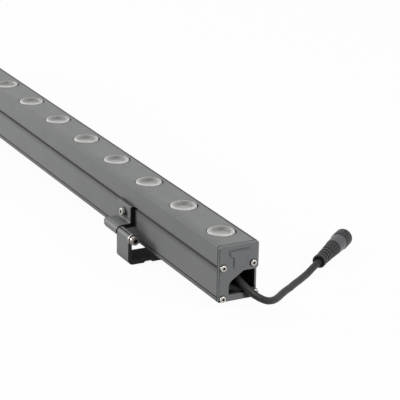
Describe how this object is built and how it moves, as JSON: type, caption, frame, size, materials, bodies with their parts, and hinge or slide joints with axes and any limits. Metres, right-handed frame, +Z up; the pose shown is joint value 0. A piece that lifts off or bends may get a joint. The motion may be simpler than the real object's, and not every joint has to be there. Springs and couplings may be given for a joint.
{
  "type": "linear wall washer light",
  "caption": "Straight aluminium wall washer bar with lenses along the top, two sliding clamps with hinged slotted feet, and a supply cable with a screw-locked connector.",
  "frame": {"origin": "middle of the four foot slots, on the plane that the feet rest on", "axes": "+X along the bar to the cable end, -Y the side with the brackets, +Z up, the way the light goes"},
  "size_m": [1.0135, 0.2494, 0.0778],
  "materials": {
    "bar_finish": "satin grey anodised aluminium extrusion",
    "cap_finish": "satin grey painted die casting",
    "bracket_finish": "satin grey anodised extrusion, sawn ends",
    "stainless": "stainless steel, turned",
    "black_steel": "blackened steel",
    "seal_rubber": "black silicone rubber",
    "frosted_lens": "clear lens moulding with a frosted rim",
    "board_white": "white solder mask",
    "emitter": "yellow phosphor under a clear dome",
    "driver_case": "plain drawn aluminium",
    "bulkhead_metal": "black anodised",
    "wire_sleeve": "silicone wire sleeve",
    "cable_rubber": "matt dark grey rubber jacket",
    "connector_black": "moulded dark grey plastic",
    "coupling_black": "moulded dark grey plastic, fluted",
    "contact_brass": "plated contacts"
  },
  "bodies": {
    "bar": {"housing": "bar_finish", "end_cap_near": "cap_finish", "end_cap_far": "cap_finish", "end_seal_near": "seal_rubber", "end_seal_far": "seal_rubber", "cap_screws_near": "stainless", "cap_screws_far": "stainless", "lens_01": "frosted_lens", "lens_02": "frosted_lens", "lens_03": "frosted_lens", "lens_04": "frosted_lens", "lens_05": "frosted_lens", "lens_06": "frosted_lens", "lens_07": "frosted_lens", "lens_08": "frosted_lens", "lens_09": "frosted_lens", "lens_10": "frosted_lens", "lens_11": "frosted_lens", "lens_12": "frosted_lens", "lens_seals": "seal_rubber", "led_board_near": "board_white", "led_board_far": "board_white", "led_emitters": "emitter", "board_screws": "stainless", "driver": "driver_case", "driver_screws": "stainless", "driver_leads": "wire_sleeve", "board_leads": "wire_sleeve", "bulkhead": "bulkhead_metal", "bulkhead_seal": "seal_rubber", "gland_body": "stainless", "gland_seal": "seal_rubber", "gland_nut": "stainless", "gland_locknut": "stainless", "strain_relief": "cable_rubber", "cable_tail": "cable_rubber", "cable": "cable_rubber", "connector_body": "connector_black", "connector_seal": "seal_rubber", "connector_insert": "connector_black", "connector_contacts": "contact_brass"},
    "coupling": {"coupling_nut": "coupling_black"},
    "clamp_near_group": {"clamp_near": "bracket_finish", "clamp_screw_near": "stainless", "hinge_bolt_near": "stainless", "hinge_washer_near": "stainless", "hinge_nut_near": "black_steel"},
    "foot_near_group": {"foot_near": "bracket_finish"},
    "clamp_far_group": {"clamp_far": "bracket_finish", "clamp_screw_far": "stainless", "hinge_bolt_far": "stainless", "hinge_washer_far": "stainless", "hinge_nut_far": "black_steel"},
    "foot_far_group": {"foot_far": "bracket_finish"}
  },
  "joints": [
    {"name": "clamp_slide_near", "type": "slide", "parent": "bar", "child": "clamp_near_group", "axis": [1, 0, 0], "range_m": [-0.24, 0.14]},
    {"name": "foot_hinge_near", "type": "hinge", "parent": "clamp_near_group", "child": "foot_near_group", "pos_m": [0.3185, -0.0417, 0.0295], "axis": [-1, 0, 0], "range_deg": [-8, 180]},
    {"name": "clamp_slide_far", "type": "slide", "parent": "bar", "child": "clamp_far_group", "axis": [-1, 0, 0], "range_m": [-0.24, 0.14]},
    {"name": "foot_hinge_far", "type": "hinge", "parent": "clamp_far_group", "child": "foot_far_group", "pos_m": [-0.3185, -0.0417, 0.0295], "axis": [-1, 0, 0], "range_deg": [-8, 180]},
    {"name": "coupling_turn", "type": "hinge", "parent": "bar", "child": "coupling", "pos_m": [0.4255, 0.1365, 0.00739], "axis": [-0.6011, 0.7977, 0.0472], "continuous": true}
  ]
}
